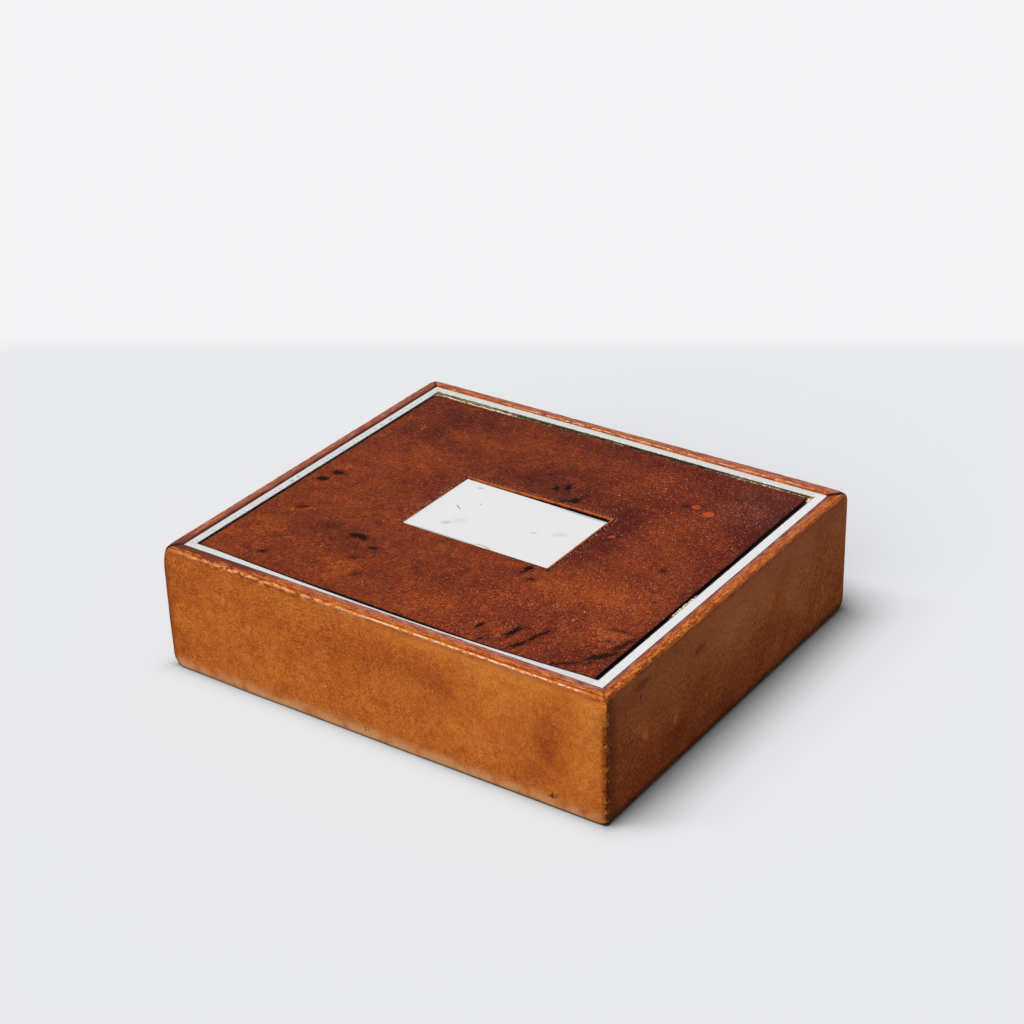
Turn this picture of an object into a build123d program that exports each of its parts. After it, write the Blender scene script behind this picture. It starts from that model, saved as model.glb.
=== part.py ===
from build123d import *
import os

# Leather-covered box with a lift-off lid that drops inside the rim.
# Millimetres. The origin is the centre of the underside, +X runs along the front to the right,
# +Y to the back and +Z up.

# Body of the box
box_width = 190.0
box_depth = 166.0
box_height = 50.0
wall_thickness = 3.0
bottom_board_thickness = 3.5
side_leather_thickness = 1.1
pared_leather_thickness = 0.8
turned_under_width = 9.0
corner_radius = 2.0
rim_outer_radius = 1.5
rim_inner_radius = 0.6
bottom_edge_radius = 1.0

# Underside
base_cover_thickness = 0.8
base_cover_inset = 2.5
filler_clearance = 0.3

# Linings
lining_thickness = 4.0
floor_lining_thickness = 1.2
floor_lining_clearance = 0.2

# Lid
lid_clearance = 0.4
lid_below_rim = 0.3
lid_height = 5.0
frame_corner_radius = 0.5
frame_edge_radius = 0.25
band_width = 3.6
band_thickness = 1.3
web_thickness = 1.0
web_clearance = 0.1
lid_lining_thickness = 1.5
lid_lining_clearance = 0.8
lid_lining_corner_radius = 3.0
lid_lining_edge_radius = 0.5

# Leather inlaid in the lid
lid_leather_thickness = 1.1
lid_leather_gap = 1.5
lid_leather_corner_radius = 0.8
lid_leather_edge_radius = 0.35

# Plaque inlaid in the leather
plaque_length = 64.5
plaque_width = 40.0
plaque_thickness = 0.7
plaque_gap = 0.7
plaque_corner_radius = 0.6
plaque_edge_chamfer = 0.15
prong_diameter = 1.5
prong_length = 2.5
prong_inset = 7.0

# Pins
hole_clearance = 0.05
brad_diameter = 1.4
brad_length = 12.0
brads_along_side = 3
brad_end_inset = 25.0
frame_pin_diameter = 1.0
frame_pin_length = 6.0
frame_pins_along_side = 4
frame_pin_end_inset = 20.0

# Heights, from the underside up
leather_bottom = base_cover_thickness
wall_bottom = leather_bottom + pared_leather_thickness
floor_height = wall_bottom + bottom_board_thickness
wall_top = box_height - side_leather_thickness
lid_top = box_height - lid_below_rim
ledge_height = lid_top - lid_height
board_top = lid_top - band_thickness

# Outlines, each as (along X, along Y)
box_outline = (box_width, box_depth)


def inset(outline, distance):
    """The outline moved in by a distance on all four sides."""
    return (outline[0] - 2 * distance, outline[1] - 2 * distance)


wall_outline = inset(box_outline, side_leather_thickness)
wall_corner_radius = corner_radius - side_leather_thickness
well_outline = inset(wall_outline, wall_thickness)
mouth_outline = inset(well_outline, pared_leather_thickness)
room_outline = inset(well_outline, lining_thickness)
under_outline = inset(box_outline, turned_under_width)
lid_outline = inset(mouth_outline, lid_clearance)
frame_window = inset(lid_outline, band_width)
frame_pocket = inset(lid_outline, web_thickness)
lid_board_outline = inset(frame_pocket, web_clearance)
lid_leather_outline = inset(frame_window, lid_leather_gap)
plaque_outline = (plaque_length, plaque_width)
plaque_window = inset(plaque_outline, -plaque_gap)
prong_spacing = inset(plaque_outline, prong_inset)

# The four sides, each with the direction that it faces
outward = {"front": (0, -1), "right": (1, 0), "back": (0, 1), "left": (-1, 0)}


def run_and_reach(side, outline):
    """A side's length and the distance across the box to the opposite side."""
    if side in ("front", "back"):
        return outline[0], outline[1]
    return outline[1], outline[0]


def side_plane(side, height):
    """A level plane whose X runs along the side and whose -Y faces out of it."""
    out_x, out_y = outward[side]
    return Plane(origin=(0, 0, height), x_dir=(-out_y, out_x, 0), z_dir=(0, 0, 1))


def pin_places(side, outline, height, count, end_inset):
    """Places along a side's outer face, each facing out of it."""
    out_x, out_y = outward[side]
    run, reach = run_and_reach(side, outline)
    face = Plane(
        origin=(out_x * reach / 2, out_y * reach / 2, height),
        x_dir=(-out_y, out_x, 0),
        z_dir=(out_x, out_y, 0),
    )
    step = (run - 2 * end_inset) / (count - 1)
    return [face.location * Location((n * step - (run / 2 - end_inset), 0, 0)) for n in range(count)]


def brad_places(side):
    height = wall_bottom + bottom_board_thickness / 2
    return pin_places(side, wall_outline, height, brads_along_side, brad_end_inset)


def frame_pin_places(side):
    height = (ledge_height + board_top) / 2
    return pin_places(side, lid_outline, height, frame_pins_along_side, frame_pin_end_inset)


all_brads = [place for side in outward for place in brad_places(side)]
all_frame_pins = [place for side in outward for place in frame_pin_places(side)]


def save(part, name):
    part.label = name
    export_step(part, f"parts/{name}.step")


def mitred_board(side, outline, thickness, bottom, top):
    """One of four upright boards round an outline, mitred where it meets its neighbours."""
    run, reach = run_and_reach(side, outline)
    with BuildPart() as board:
        with BuildSketch(side_plane(side, bottom)):
            with BuildLine():
                Polyline(
                    (-run / 2, -reach / 2),
                    (run / 2, -reach / 2),
                    (run / 2 - thickness, -reach / 2 + thickness),
                    (-run / 2 + thickness, -reach / 2 + thickness),
                    close=True,
                )
            make_face()
        extrude(amount=top - bottom)
    return board.part


os.makedirs("parts", exist_ok=True)

# Wooden carcass
with BuildPart() as bottom_board:
    with BuildSketch(Plane.XY.offset(wall_bottom)):
        Rectangle(*well_outline)
    extrude(amount=bottom_board_thickness)
    with Locations(*all_brads):
        Hole(radius=brad_diameter / 2 + hole_clearance, depth=brad_length)
save(bottom_board.part, "bottom_board")

for side in outward:
    with BuildPart() as wall:
        add(mitred_board(side, wall_outline, wall_thickness, wall_bottom, wall_top))
        with BuildSketch(Plane.XY.offset(wall_bottom)):
            RectangleRounded(*wall_outline, wall_corner_radius)
        extrude(amount=wall_top - wall_bottom, mode=Mode.INTERSECT)
        with Locations(*brad_places(side)):
            Hole(radius=brad_diameter / 2 + hole_clearance, depth=brad_length)
    save(wall.part, f"{side}_wall")

with BuildPart() as wall_pins:
    with Locations(*all_brads):
        Cylinder(brad_diameter / 2, brad_length, align=(Align.CENTER, Align.CENTER, Align.MAX))
save(wall_pins.part, "wall_pins")

# Leather round the carcass, turned over the rim down to the ledge and in under the walls
with BuildPart() as side_leather:
    with BuildSketch(Plane.XY.offset(leather_bottom)):
        RectangleRounded(*box_outline, corner_radius)
    extrude(amount=box_height - leather_bottom)
    fillet(side_leather.faces().sort_by(Axis.Z)[-1].edges(), radius=rim_outer_radius)
    fillet(side_leather.faces().sort_by(Axis.Z)[0].edges(), radius=bottom_edge_radius)
    with BuildSketch(Plane.XY.offset(wall_bottom)):
        RectangleRounded(*wall_outline, wall_corner_radius)
    extrude(amount=ledge_height - wall_bottom, mode=Mode.SUBTRACT)
    with BuildSketch(Plane.XY.offset(ledge_height)):
        RectangleRounded(*wall_outline, wall_corner_radius)
        Rectangle(*well_outline, mode=Mode.SUBTRACT)
    extrude(amount=wall_top - ledge_height, mode=Mode.SUBTRACT)
    with BuildSketch(Plane.XY.offset(ledge_height)):
        Rectangle(*mouth_outline)
    extrude(amount=box_height - ledge_height, mode=Mode.SUBTRACT)
    with BuildSketch(Plane.XY.offset(leather_bottom)):
        Rectangle(*under_outline)
    extrude(amount=pared_leather_thickness, mode=Mode.SUBTRACT)
    rim = side_leather.faces().sort_by(Axis.Z)[-1]
    fillet(rim.inner_wires()[0].edges(), radius=rim_inner_radius)
save(side_leather.part, "side_leather")

# Underside: card that fills the space inside the turned-in leather, and the cover over both
with BuildPart() as base_filler:
    with BuildSketch(Plane.XY.offset(leather_bottom)):
        Rectangle(*inset(under_outline, filler_clearance))
    extrude(amount=pared_leather_thickness)
save(base_filler.part, "base_filler")

with BuildPart() as base_cover:
    with BuildSketch():
        RectangleRounded(*inset(box_outline, base_cover_inset), corner_radius)
    extrude(amount=base_cover_thickness)
save(base_cover.part, "base_cover")

# Linings, whose top edges are the ledge that carries the lid
for side in outward:
    lining = mitred_board(side, well_outline, lining_thickness, floor_height, ledge_height)
    save(lining, f"{side}_lining")

with BuildPart() as floor_lining:
    with BuildSketch(Plane.XY.offset(floor_height)):
        Rectangle(*inset(room_outline, floor_lining_clearance))
    extrude(amount=floor_lining_thickness)
save(floor_lining.part, "floor_lining")

# Lid: a board in an edging of angle section
with BuildPart() as lid_board:
    with BuildSketch(Plane.XY.offset(ledge_height)):
        Rectangle(*lid_board_outline)
    extrude(amount=board_top - ledge_height)
    with Locations((0, 0, board_top)):
        with GridLocations(*prong_spacing, 2, 2):
            Hole(radius=prong_diameter / 2 + hole_clearance, depth=prong_length + hole_clearance)
    with Locations(*all_frame_pins):
        Hole(radius=frame_pin_diameter / 2 + hole_clearance, depth=frame_pin_length + hole_clearance)
save(lid_board.part, "lid_board")

with BuildPart() as lid_frame:
    with BuildSketch(Plane.XY.offset(ledge_height)):
        RectangleRounded(*lid_outline, frame_corner_radius)
        Rectangle(*frame_window, mode=Mode.SUBTRACT)
    extrude(amount=lid_height)
    fillet(lid_frame.faces().sort_by(Axis.Z)[-1].outer_wire().edges(), radius=frame_edge_radius)
    with BuildSketch(Plane.XY.offset(ledge_height)):
        Rectangle(*frame_pocket)
    extrude(amount=board_top - ledge_height, mode=Mode.SUBTRACT)
    with Locations(*all_frame_pins):
        Hole(radius=frame_pin_diameter / 2 + hole_clearance, depth=frame_pin_length)
save(lid_frame.part, "lid_frame")

with BuildPart() as frame_pins:
    with Locations(*all_frame_pins):
        Cylinder(frame_pin_diameter / 2, frame_pin_length, align=(Align.CENTER, Align.CENTER, Align.MAX))
save(frame_pins.part, "frame_pins")

# Leather on the board, with the window for the plaque
with BuildPart() as lid_leather:
    with BuildSketch(Plane.XY.offset(board_top)):
        RectangleRounded(*lid_leather_outline, lid_leather_corner_radius)
    extrude(amount=lid_leather_thickness)
    fillet(lid_leather.faces().sort_by(Axis.Z)[-1].edges(), radius=lid_leather_edge_radius)
    with BuildSketch(Plane.XY.offset(board_top)):
        Rectangle(*plaque_window)
    extrude(amount=lid_leather_thickness, mode=Mode.SUBTRACT)
save(lid_leather.part, "lid_leather")

# Blank plaque, with prongs soldered to its back
with BuildPart() as lid_plaque:
    with BuildSketch(Plane.XY.offset(board_top)):
        RectangleRounded(*plaque_outline, plaque_corner_radius)
    extrude(amount=plaque_thickness)
    chamfer(lid_plaque.faces().sort_by(Axis.Z)[-1].edges(), length=plaque_edge_chamfer)
    with BuildSketch(Plane.XY.offset(board_top)):
        with GridLocations(*prong_spacing, 2, 2):
            Circle(prong_diameter / 2)
    extrude(amount=-prong_length)
save(lid_plaque.part, "lid_plaque")

# Lining under the board, which drops between the lining boards
with BuildPart() as lid_lining:
    with BuildSketch(Plane.XY.offset(ledge_height - lid_lining_thickness)):
        RectangleRounded(*inset(room_outline, lid_lining_clearance), lid_lining_corner_radius)
    extrude(amount=lid_lining_thickness)
    fillet(lid_lining.faces().sort_by(Axis.Z)[0].edges(), radius=lid_lining_edge_radius)
save(lid_lining.part, "lid_lining")
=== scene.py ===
import math

import bmesh
import bpy
from mathutils import Matrix, Vector, noise


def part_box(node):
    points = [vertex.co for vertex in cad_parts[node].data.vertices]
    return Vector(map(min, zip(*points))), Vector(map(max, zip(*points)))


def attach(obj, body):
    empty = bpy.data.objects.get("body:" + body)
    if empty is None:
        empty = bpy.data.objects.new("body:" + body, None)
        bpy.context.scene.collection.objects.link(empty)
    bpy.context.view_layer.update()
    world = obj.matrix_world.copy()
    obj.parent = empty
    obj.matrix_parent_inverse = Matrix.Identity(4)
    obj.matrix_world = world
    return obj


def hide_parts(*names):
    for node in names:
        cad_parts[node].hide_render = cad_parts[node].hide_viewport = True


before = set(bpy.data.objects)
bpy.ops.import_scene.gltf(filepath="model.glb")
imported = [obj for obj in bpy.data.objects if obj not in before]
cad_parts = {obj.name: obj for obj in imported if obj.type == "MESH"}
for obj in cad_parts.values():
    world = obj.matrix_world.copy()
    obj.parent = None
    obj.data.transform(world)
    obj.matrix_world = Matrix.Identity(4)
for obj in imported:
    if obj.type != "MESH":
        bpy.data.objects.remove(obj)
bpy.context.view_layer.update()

MM = 0.001


# Small sums

def smooth(low, high, value):
    """0 at low and before it, 1 at high and past it, and an easy curve between."""
    t = min(1, max(0, (value - low) / (high - low)))
    return t * t * (3 - 2 * t)


def bell(value, width):
    """1 at 0, and falling to a third at width on both sides."""
    return math.exp(-((value / width) ** 2))


def spot(x, y, middle_x, middle_y, reach_x, reach_y=None):
    """1 at a place, and falling to a third at its reach all round."""
    return bell(math.hypot((x - middle_x) / reach_x, (y - middle_y) / (reach_y or reach_x)), 1)


def wave(x, y, z, size, seed=0):
    """Smooth noise from -1 to 1 with bumps of about that size."""
    return noise.noise(Vector((x / size + seed, y / size - seed, z / size + 2 * seed)))


def rolled(distance, radius):
    """How far a rounded edge has dropped at a distance from its rim."""
    if distance >= radius:
        return 0
    return radius - math.sqrt(radius ** 2 - (radius - distance) ** 2)


def linear(red, green, blue):
    """A colour as a screen shows it, 0 to 255, in the shader's linear light."""
    def one(value):
        value /= 255
        return value / 12.92 if value <= 0.04045 else ((value + 0.055) / 1.055) ** 2.4
    return (one(red), one(green), one(blue), 1)


def corners_mm(node):
    """A CAD node's lowest and highest corners in millimetres."""
    low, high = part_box(node)
    return low / MM, high / MM


# Sizes in millimetres, all from the frame

wrap_low, wrap_high = corners_mm("side_leather")
wall_low, wall_high = corners_mm("front_wall")
lid_low, lid_high = corners_mm("lid_frame")
inlay_low, inlay_high = corners_mm("lid_leather")
board_low, board_high = corners_mm("lid_board")
plaque_low, plaque_high = corners_mm("lid_plaque")
cover_low, cover_high = corners_mm("base_cover")
filler_high = corners_mm("base_filler")[1]

BOX_X, BOX_Y, RIM_TOP = wrap_high
LID_X, LID_Y, LID_TOP = lid_high
WRAP_BOTTOM = wrap_low.z
WALL_TOP = wall_high.z
LEATHER = BOX_Y + wall_low.y
LEDGE = lid_low.z
BOARD_TOP = board_high.z
PARTING = 0.4
RIM_WIDTH = BOX_X - LID_X - PARTING
PARED = 0.8
OUTER_RADIUS = 0.95
INNER_RADIUS = 0.45
BOTTOM_RADIUS = 0.45
CORNER_RADIUS = 0.6
CLOTH_INSET = 0.5
TURNED_UNDER = BOX_X - filler_high.x - 0.3
BAND = 3.6
WEB = 1

# The lid has sagged along its front side

SAG = 1.88
SAG_MIDDLE = 15
SAG_LEFT_REACH = 92
SAG_RIGHT_REACH = 66
SAG_START = -40

# The lid's leather has shrunk unevenly, so its edges don't lie as they did when it was new

INLAY_LEFT = -85.75
INLAY_RIGHT = 84.3
INLAY_FRONT = -73.75
INLAY_BACK = 73.4
PLATE_LEFT = plaque_low.x - 0.8
PLATE_RIGHT = plaque_high.x - 1
PLATE_FRONT = plaque_low.y - 1.55
PLATE_BACK = plaque_high.y - 0.9
PLATE_TURN = -0.95
WINDOW_LEFT = PLATE_LEFT - 0.1
WINDOW_RIGHT = PLATE_RIGHT - 0.1
WINDOW_FRONT = PLATE_FRONT - 0.3
WINDOW_BACK = PLATE_BACK + 1.65


# Mesh building

SHARP_ANGLE = 50


def add_field(piece, name, values):
    """A number for each vertex, which a material reads by name."""
    piece.data.attributes.new(name, "FLOAT", "POINT").data.foreach_set("value", values)


def add_piece(name, shape, material, body, node, fields=None):
    """A mesh in millimetres that rides on a body and stands for a CAD node.

    fields(x, y, z) gives what the material reads at a place, by name.
    """
    vertices, faces = shape
    mesh = bpy.data.meshes.new(name)
    mesh.from_pydata([Vector(v) * MM for v in vertices], [], faces)
    shell = bmesh.new()
    shell.from_mesh(mesh)
    bmesh.ops.recalc_face_normals(shell, faces=shell.faces)
    shell.to_mesh(mesh)
    shell.free()
    mesh.polygons.foreach_set("use_smooth", [True] * len(mesh.polygons))
    mesh.set_sharp_from_angle(angle=math.radians(SHARP_ANGLE))
    mesh.materials.append(material)
    piece = bpy.data.objects.new(name, mesh)
    bpy.context.scene.collection.objects.link(piece)
    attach(piece, body)
    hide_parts(node)
    if fields:
        measured = [fields(*(v.co / MM)) for v in mesh.vertices]
        for field in measured[0]:
            add_field(piece, field, [row[field] for row in measured])
    return piece


SIDES = (((1, 0), (0, -1)), ((0, 1), (1, 0)), ((-1, 0), (0, 1)), ((0, -1), (-1, 0)))
CORNER_STEPS = 8
LEAST_CORNER = 0.3
END_OFFSETS = (0, 0.15, 0.3, 0.5, 0.75, 1.1, 1.6, 2.3, 3.2)


def side_shares(length, spacing):
    """Places along a side from 0 to 1, close together near both ends."""
    middle = length - 2 * END_OFFSETS[-1]
    steps = max(2, round(middle / spacing))
    inner = [END_OFFSETS[-1] + middle * n / steps for n in range(1, steps)]
    ends = [length - offset for offset in reversed(END_OFFSETS)]
    return [place / length for place in (*END_OFFSETS, *inner, *ends)]


def ring_stations(half_x, half_y, spacing):
    """Stations round a rectangle from its front left corner: the side, and a share or an angle."""
    stations = []
    for side in range(4):
        length = 2 * (half_x if side % 2 == 0 else half_y)
        stations += [(side, share, None) for share in side_shares(length, spacing)]
        stations += [(side, None, math.pi / 2 * n / CORNER_STEPS) for n in range(1, CORNER_STEPS)]
    return stations


def ring_point(station, half_x, half_y, radius):
    """Where a station lies on a rectangle with round corners."""
    side, share, angle = station
    (ax, ay), (ox, oy) = SIDES[side]
    run, reach = (half_x, half_y) if side % 2 == 0 else (half_y, half_x)
    if angle is None:
        along = (2 * share - 1) * (run - radius)
        out = reach
    else:
        along = run - radius + radius * math.sin(angle)
        out = reach - radius + radius * math.cos(angle)
    return ax * along + ox * out, ay * along + oy * out


def ring(half_x, half_y, corner, profile, spacing, bend):
    """A closed section carried round a rectangle.

    The section is (inset, height) points, and bend(x, y, inset, height) gives a point's new
    inset and height.
    """
    stations = ring_stations(half_x, half_y, spacing)
    vertices = []
    for station in stations:
        for inset, height in profile:
            radius = max(corner - inset, LEAST_CORNER)
            x, y = ring_point(station, half_x - inset, half_y - inset, radius)
            inset, height = bend(x, y, inset, height)
            radius = max(corner - inset, LEAST_CORNER)
            vertices.append((*ring_point(station, half_x - inset, half_y - inset, radius), height))
    count, size = len(stations), len(profile)
    faces = []
    for i in range(count):
        a, b = i * size, (i + 1) % count * size
        faces += [(a + j, b + j, b + (j + 1) % size, a + (j + 1) % size) for j in range(size)]
    return vertices, faces


def arc(inset, height, radius, start, end, steps):
    """Points on an arc in a section. Angle 0 points inwards and 90 degrees up."""
    turns = [math.radians(start + (end - start) * n / steps) for n in range(steps + 1)]
    return [(inset + radius * math.cos(turn), height + radius * math.sin(turn)) for turn in turns]


def line(start, end, steps):
    """Points from start to end of a section, without the last."""
    return [tuple(a + (b - a) * n / steps for a, b in zip(start, end)) for n in range(steps)]


EDGE_ROWS = (0, 0.12, 0.3, 0.55, 0.9, 1.4, 2.1)


def rows(low, high, spacing, breaks=()):
    """Grid lines from low to high, close together at both ends and at each break."""
    marks = sorted([low, high, *breaks])
    lines = [low]
    for start, end in zip(marks, marks[1:]):
        room = end - start - 2 * EDGE_ROWS[-1]
        if room <= 0:
            steps = max(1, round((end - start) / EDGE_ROWS[2]))
            lines += [start + (end - start) * n / steps for n in range(1, steps + 1)]
            continue
        steps = max(1, round(room / spacing))
        lines += [start + offset for offset in EDGE_ROWS[1:]]
        lines += [start + EDGE_ROWS[-1] + room * n / steps for n in range(1, steps)]
        lines += [end - offset for offset in reversed(EDGE_ROWS)]
    return lines


def slab(xs, ys, top, bottom, hole=None):
    """A closed plate over a grid. top(x, y) and bottom(x, y) give its vertices.

    hole is (low x, low y, high x, high y), and its corners lie on grid lines.
    """
    nx, ny = len(xs), len(ys)

    def solid(i, j):
        if not (0 <= i < nx - 1 and 0 <= j < ny - 1):
            return False
        if hole is None:
            return True
        x, y = (xs[i] + xs[i + 1]) / 2, (ys[j] + ys[j + 1]) / 2
        return not (hole[0] < x < hole[2] and hole[1] < y < hole[3])

    number, vertices, faces = {}, [], []

    def vertex(i, j, level):
        key = (i, j, level)
        if key not in number:
            number[key] = len(vertices)
            vertices.append(top(xs[i], ys[j]) if level else bottom(xs[i], ys[j]))
        return number[key]

    for i in range(nx - 1):
        for j in range(ny - 1):
            if not solid(i, j):
                continue
            square = ((i, j), (i + 1, j), (i + 1, j + 1), (i, j + 1))
            faces.append(tuple(vertex(a, b, 1) for a, b in square))
            faces.append(tuple(vertex(a, b, 0) for a, b in reversed(square)))
            beside = ((i, j - 1), (i + 1, j), (i, j + 1), (i - 1, j))
            for n in range(4):
                if not solid(*beside[n]):
                    p, q = square[n], square[(n + 1) % 4]
                    faces.append((vertex(*q, 1), vertex(*p, 1), vertex(*p, 0), vertex(*q, 0)))
    return vertices, faces


# Shader building

ROUND = (1, 1, 1)
DULL = (0.1, 0.09, 0.09, 1)


class Graph:
    """A material's nodes, built with short calls that take and return sockets. Sizes are in mm."""

    def __init__(self, name):
        self.material = bpy.data.materials.new(name)
        self.material.use_nodes = True
        self.tree = self.material.node_tree
        self.tree.nodes.clear()

    def feed(self, socket, value):
        if isinstance(value, bpy.types.NodeSocket):
            self.tree.links.new(value, socket)
        else:
            socket.default_value = value

    def add(self, kind, inputs=None, **settings):
        node = self.tree.nodes.new("ShaderNode" + kind)
        for key, value in settings.items():
            setattr(node, key, value)
        for key, value in (inputs or {}).items():
            self.feed(node.inputs[key], value)
        return node

    def place(self, stretch=ROUND, seed=0, turn=0):
        """The place on the object in mm, drawn out by stretch after a turn about Z in degrees."""
        where = self.add("TexCoord").outputs["Object"]
        if turn:
            turned = {"Vector": where, "Rotation": (0, 0, -math.radians(turn))}
            where = self.add("Mapping", turned).outputs["Vector"]
        scaled = {
            "Vector": where,
            "Location": (seed * 13.7, seed * 7.3, seed * 3.1),
            "Scale": [1 / MM / s for s in stretch],
        }
        return self.add("Mapping", scaled).outputs["Vector"]

    def axis(self, letter):
        return self.add("SeparateXYZ", {"Vector": self.place()}).outputs[letter]

    def facing(self, letter):
        """How far the surface faces along an axis, from 0 to 1."""
        normal = self.add("NewGeometry").outputs["True Normal"]
        return self.math("ABSOLUTE", self.add("SeparateXYZ", {"Vector": normal}).outputs[letter])

    def field(self, name):
        return self.add("Attribute", attribute_name=name).outputs["Fac"]

    def noise(self, size, detail, seed, stretch=ROUND, turn=0, rough=0.5, bend=0):
        inputs = {
            "Vector": self.place(stretch, seed, turn),
            "Scale": 1 / size,
            "Detail": detail,
            "Roughness": rough,
            "Distortion": bend,
        }
        return self.add("TexNoise", inputs).outputs["Fac"]

    def streaks(self, size, stretch, seed):
        """Noise drawn out along the rim, whichever side of the box it is on."""
        along_x = self.noise(size, 2, seed, (stretch, 1, 1))
        along_y = self.noise(size, 2, seed, (1, stretch, 1))
        return self.add("Mix", {0: self.field("long_side"), 2: along_y, 3: along_x}).outputs[0]

    def math(self, operation, a, b=None, c=None):
        inputs = {n: value for n, value in enumerate((a, b, c)) if value is not None}
        return self.add("Math", inputs, operation=operation).outputs[0]

    def minus(self, a, b):
        return self.math("SUBTRACT", a, b)

    def plus(self, a, b):
        return self.math("ADD", a, b)

    def times(self, first, *others):
        for other in others:
            first = self.math("MULTIPLY", first, other)
        return first

    def total(self, *terms, start=0):
        """Adds up (socket, weight, middle), where a noise socket swings round a middle of 0.5."""
        for socket, weight, *middle in terms:
            swing = self.minus(socket, *(middle or [0.5]))
            start = self.math("MULTIPLY_ADD", swing, weight, start)
        return start

    def step(self, value, low, high):
        """0 at low, 1 at high, with an easy curve between. low may be above high."""
        inputs = {"Value": value, "From Min": low, "From Max": high}
        return self.add("MapRange", inputs, interpolation_type="SMOOTHSTEP").outputs["Result"]

    def patch(self, size, detail, seed, low, high, **shape):
        """Patches where a noise is above high, with soft edges down to low."""
        return self.step(self.noise(size, detail, seed, **shape), low, high)

    def mix(self, share, a, b):
        return self.add("Mix", {0: share, 6: a, 7: b}, data_type="RGBA").outputs[2]

    def paint(self, colour, *layers):
        """Lays layers over a colour: each is its own colour, then factors for how much shows."""
        for shade, *factors in layers:
            colour = self.mix(self.times(*factors), colour, linear(*shade))
        return colour

    def ramp(self, value, *stops):
        """A colour for each value, between stops of a value and its colour."""
        node = self.add("ValToRGB", {"Fac": value})
        elements = node.color_ramp.elements
        while len(elements) < len(stops):
            elements.new(0.5)
        for element, (position, *shade) in zip(elements, stops):
            element.position = position
            element.color = linear(*shade)
        return node.outputs["Color"]

    def specks(self, spacing, radius, share, seed, stretch=ROUND, turn=0):
        """Small scattered spots: 1 at the middle of each, 0 between, in that share of the cells."""
        inputs = {"Vector": self.place(stretch, seed, turn), "Scale": 1 / spacing}
        cells = self.add("TexVoronoi", inputs)
        colour = self.add("SeparateColor", {"Color": cells.outputs["Color"]})
        chosen = self.math("LESS_THAN", colour.outputs["Red"], share)
        speck = self.step(cells.outputs["Distance"], radius / spacing, 0.4 * radius / spacing)
        return self.times(speck, chosen)

    def lines(self, size, width, seed, stretch=ROUND, turn=0):
        """Thin wandering lines, where a soft noise crosses its middle."""
        crossing = self.minus(self.noise(size, 1, seed, stretch, turn), 0.5)
        return self.step(self.math("ABSOLUTE", crossing), width / size, 0)

    def quiet(self, colour):
        """The same colour to the eye, but dull for the light that it throws on what is near."""
        thrown = self.add("LightPath").outputs["Is Diffuse Ray"]
        return self.mix(self.times(thrown, 0.85), colour, DULL)

    def finish(self, colour, roughness, height, depth, **sockets):
        """Ends the material. height times depth in mm is its bump."""
        bump = self.add("Bump", {"Height": height, "Strength": 1, "Distance": depth * MM})
        shader = self.add("BsdfPrincipled", {"Base Color": colour, "Roughness": roughness})
        self.feed(shader.inputs["Normal"], bump.outputs["Normal"])
        for name, value in sockets.items():
            self.feed(shader.inputs[SOCKETS[name]], value)
        output = self.add("OutputMaterial")
        self.tree.links.new(shader.outputs["BSDF"], output.inputs["Surface"])
        return self.material


SOCKETS = {
    "metallic": "Metallic",
    "specular": "Specular IOR Level",
    "coat": "Coat Weight",
    "coat_roughness": "Coat Roughness",
    "coat_ior": "Coat IOR",
    "sheen": "Sheen Weight",
    "sheen_roughness": "Sheen Roughness",
}


# Stains and patches, placed in millimetres from the middle of the box

# Black stains on the lid: x, y, half length, half width, turn in degrees
LID_STAINS = (
    (-79.5, -9.8, 2.3, 1.7, 20), (-77.5, -2.9, 2.4, 1.3, 10), (-71.6, -31.2, 1.7, 0.8, 37),
    (-41.5, -38.5, 2.6, 1.5, 20), (-38.5, -38.2, 2.4, 1.2, -5), (-30.1, -42.9, 1.3, 0.9, 18),
    (-32.2, -51.2, 1.2, 0.6, 37), (-25.4, -59.6, 0.9, 0.6, 37), (-63, -64.9, 1.6, 0.6, 37),
    (0.9, 30, 1.9, 1.1, 130), (4.1, 33.1, 2.1, 0.9, 125), (8.8, 22.9, 1.5, 1.2, 40),
    (12.2, 25.4, 1.9, 1.5, 60), (13.2, 28.6, 1.7, 0.5, 76), (-6.8, 38.4, 0.8, 0.6, 37),
    (49.3, 44.3, 0.9, 0.6, 32), (54.4, 46.7, 0.9, 0.7, 32), (67, -1.9, 0.9, 0.9, 41),
    (26, -25.4, 1.5, 1.1, 41), (25.1, -28.3, 1.1, 0.5, 53), (30.6, -31.3, 1.5, 0.9, 35),
    (32, -64.1, 1.6, 0.7, 71), (44.4, -62.7, 3.6, 1, 72), (50.4, -67.8, 3.2, 0.8, 62),
    (52.9, -62.7, 2.7, 0.9, 78), (54.4, -57.8, 2.6, 0.6, 67), (37.5, -70.6, 1, 0.6, 32),
    (79.2, -60.5, 5, 1.6, 52), (81.2, -51.5, 5.4, 0.9, 75), (72.2, -69.5, 4, 0.6, 31),
    (76.1, -44, 3.5, 0.6, 11), (76.1, -51.4, 0.9, 0.5, 41),
)

# Orange places on the lid where the dark top has come away
LID_CHIPS = ((53, 45.1, 2, 1.8, 32), (59.5, 42.5, 2.2, 2.1, 32), (38.5, 9.7, 1.2, 0.9, 32))

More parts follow.
